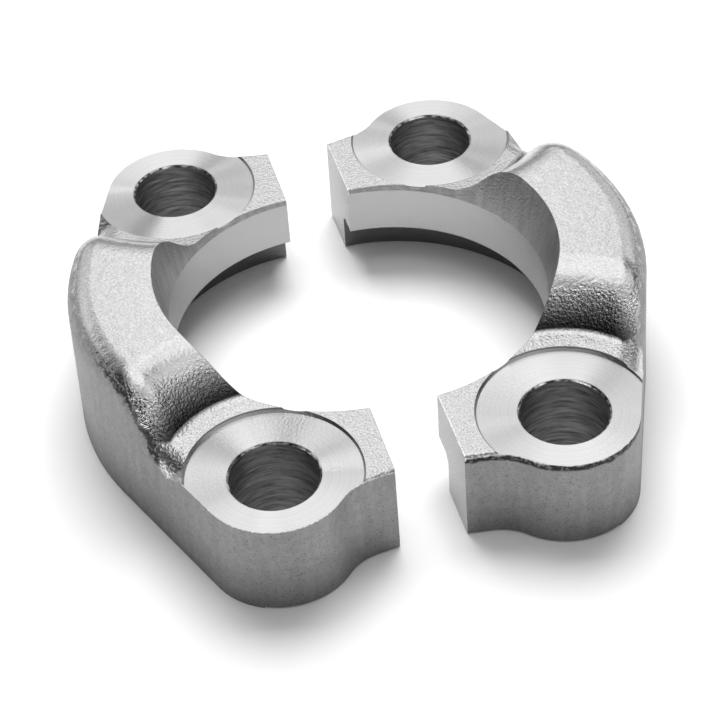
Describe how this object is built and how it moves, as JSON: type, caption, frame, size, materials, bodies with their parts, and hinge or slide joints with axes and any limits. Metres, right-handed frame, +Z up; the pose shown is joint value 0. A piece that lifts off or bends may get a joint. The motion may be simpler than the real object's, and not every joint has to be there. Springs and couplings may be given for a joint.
{
  "type": "split flange clamp",
  "caption": "Pair of forged C-shaped flange clamp halves with bolt lugs, raised arch, bore and flange-head recess.",
  "frame": {"origin": "centre of the pair's box, at the flat undersides", "axes": "+Z up from the undersides, +Y along the bolt lines, +X across the pair towards the right half"},
  "size_m": [0.0914, 0.0938, 0.0246],
  "materials": {
    "zinc_plated_forging_left": "silvery zinc plating, grainy on the forged faces, bright on the turned seats and bore",
    "zinc_plated_forging_right": "silvery zinc plating, grainy on the forged faces, bright on the turned seats and bore"
  },
  "bodies": {
    "root": {"left_half": "zinc_plated_forging_left", "right_half": "zinc_plated_forging_right"}
  },
  "joints": []
}
